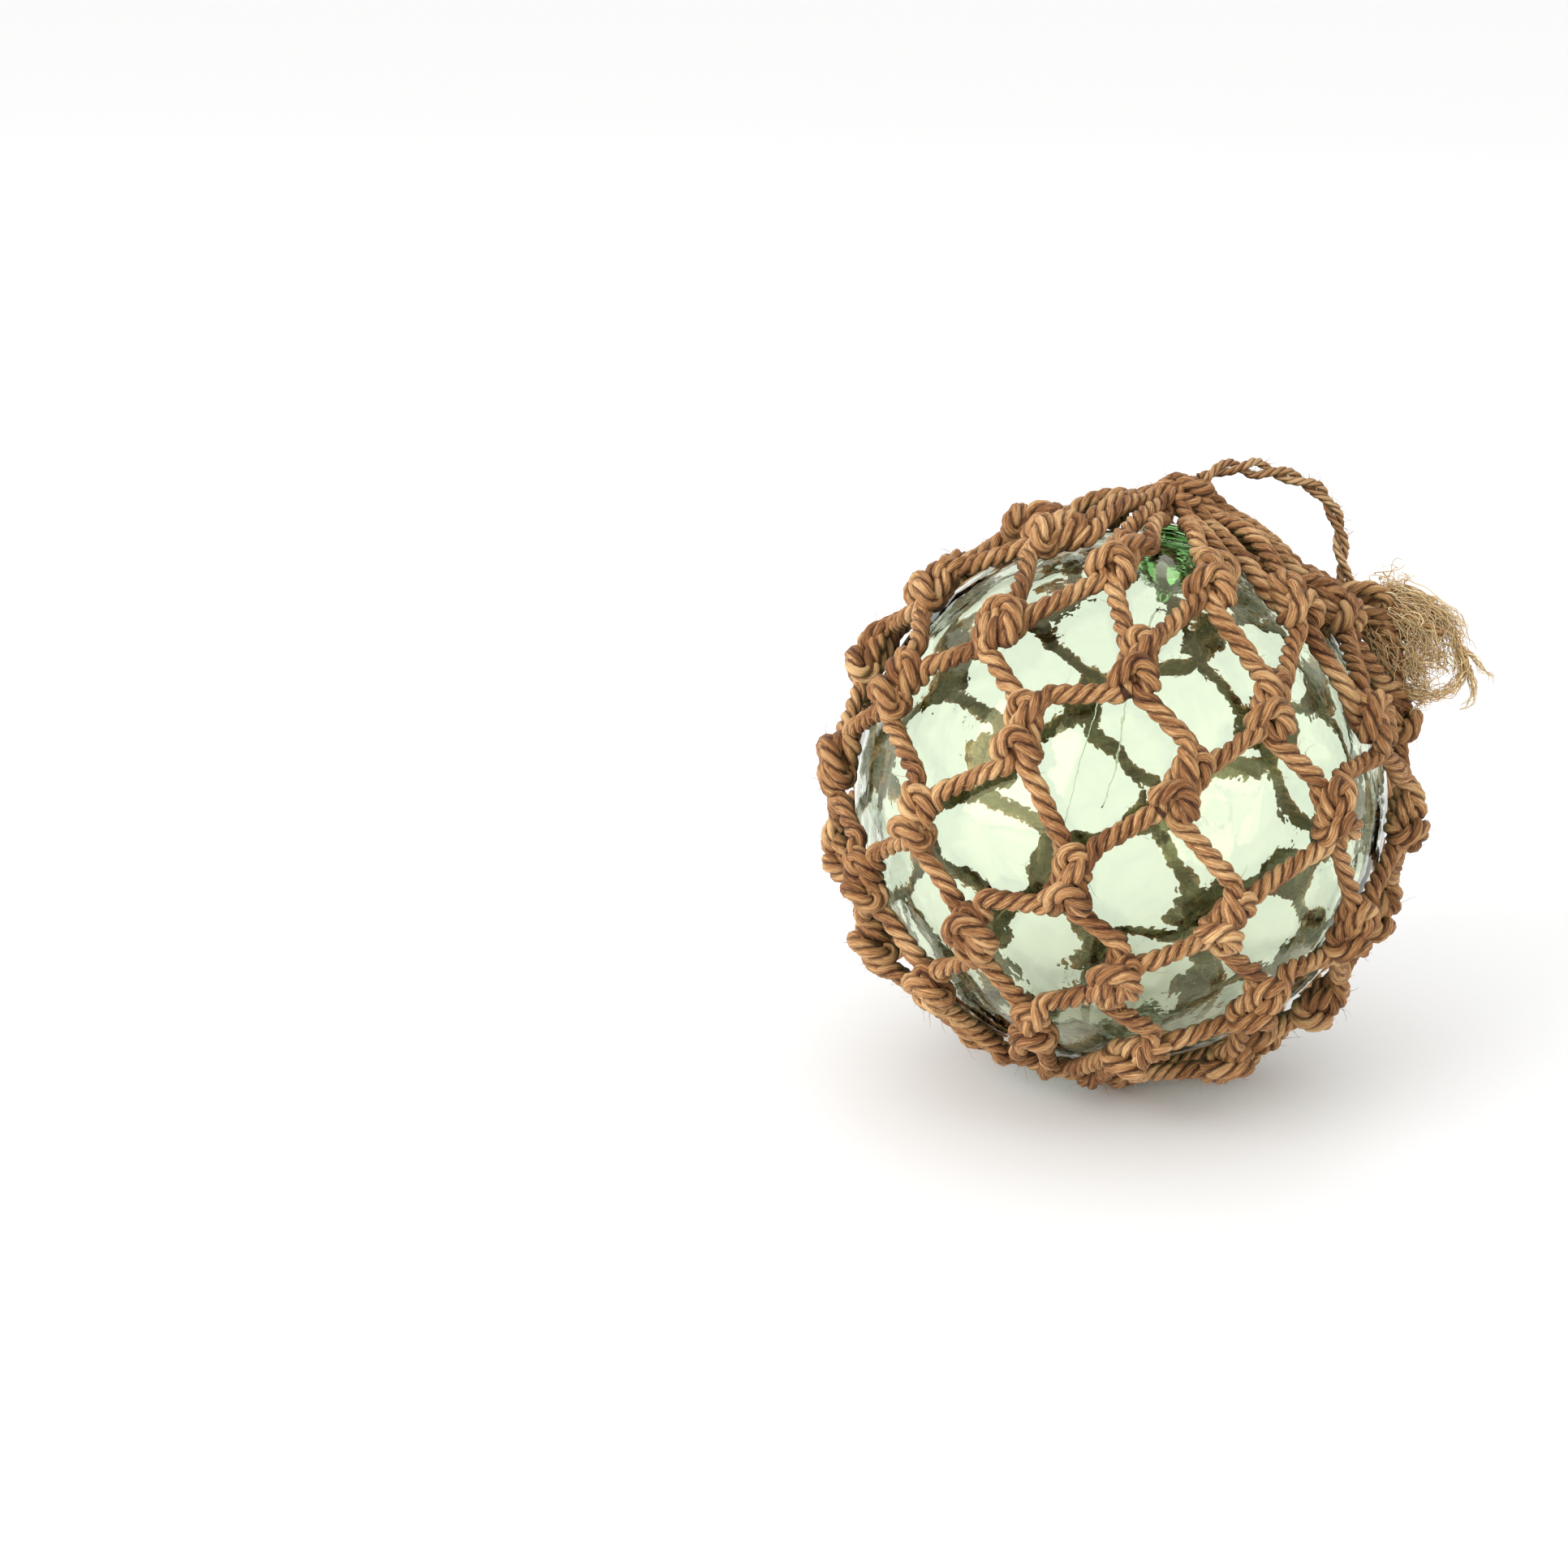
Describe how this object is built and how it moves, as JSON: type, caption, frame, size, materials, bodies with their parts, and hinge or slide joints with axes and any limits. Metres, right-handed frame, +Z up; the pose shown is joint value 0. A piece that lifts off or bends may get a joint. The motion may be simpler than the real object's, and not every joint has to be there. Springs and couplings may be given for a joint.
{
  "type": "netted glass float",
  "caption": "Sealed hollow glass fishing float in a knotted rope net, gathered at a leaning crown with a short hanging loop and a frayed rope end, standing on its flattened lower net",
  "frame": {"origin": "on the surface the float stands on, under the middle of the netted ball's box", "axes": "+Z up, -Y towards the front that the picture shows, +X to its right; the net's crown leans to +X and +Y"},
  "size_m": [0.3011, 0.2828, 0.2897],
  "materials": {
    "green_glass": "clear pale green, wavy and glossy",
    "net_rope": "three-strand brown plant-fibre rope, slightly hairy",
    "loop_cord": "thin twisted plant-fibre cord, paler and hairier",
    "frayed_fibre": "loose straw-coloured fibres"
  },
  "bodies": {
    "root": {"glass_float": "green_glass", "rope_net": "net_rope", "net_crown": "net_rope", "net_base": "net_rope", "hanging_loop": "loop_cord", "tail_knot": "frayed_fibre"}
  },
  "joints": []
}
